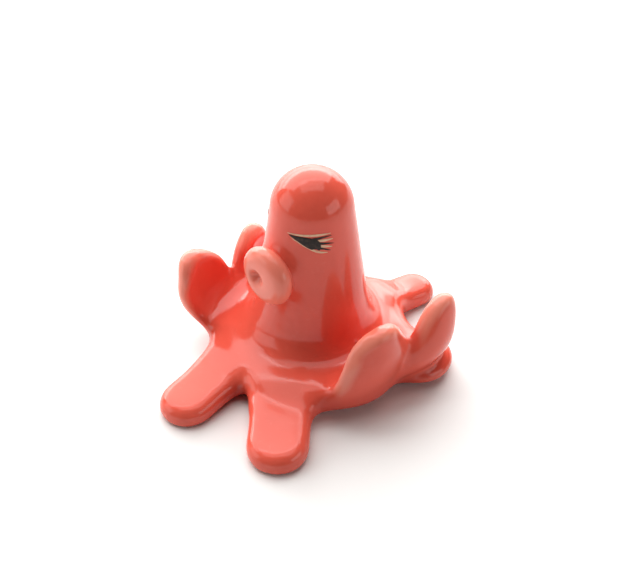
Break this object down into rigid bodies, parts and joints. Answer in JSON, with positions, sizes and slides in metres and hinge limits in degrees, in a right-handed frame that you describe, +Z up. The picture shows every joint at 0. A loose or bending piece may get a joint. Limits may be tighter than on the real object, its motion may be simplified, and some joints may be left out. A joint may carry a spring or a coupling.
{
  "type": "chopstick rest",
  "caption": "Glazed ceramic octopus figure with flat and curled-up arms; the troughs between its head and the curled arms hold chopsticks.",
  "frame": {"origin": "on the table, under the middle of the figure's outline", "axes": "+Z up; -Y to the front, where the two flat arms lie; +X to the right of someone facing the front"},
  "size_m": [0.0504, 0.0626, 0.0408],
  "materials": {
    "glaze": "gloss",
    "eye_white": "gloss",
    "eye_black": "satin"
  },
  "bodies": {
    "root": {"head": "glaze", "web": "glaze", "snout": "glaze", "arm_front_right": "glaze", "arm_front_left": "glaze", "arm_side_front_right": "glaze", "arm_side_front_left": "glaze", "arm_side_back_right": "glaze", "arm_side_back_left": "glaze", "arm_back_right": "glaze", "arm_back_left": "glaze", "eye_white_right": "eye_white", "eye_white_left": "eye_white", "eye_black_right": "eye_black", "eye_black_left": "eye_black"}
  },
  "joints": []
}
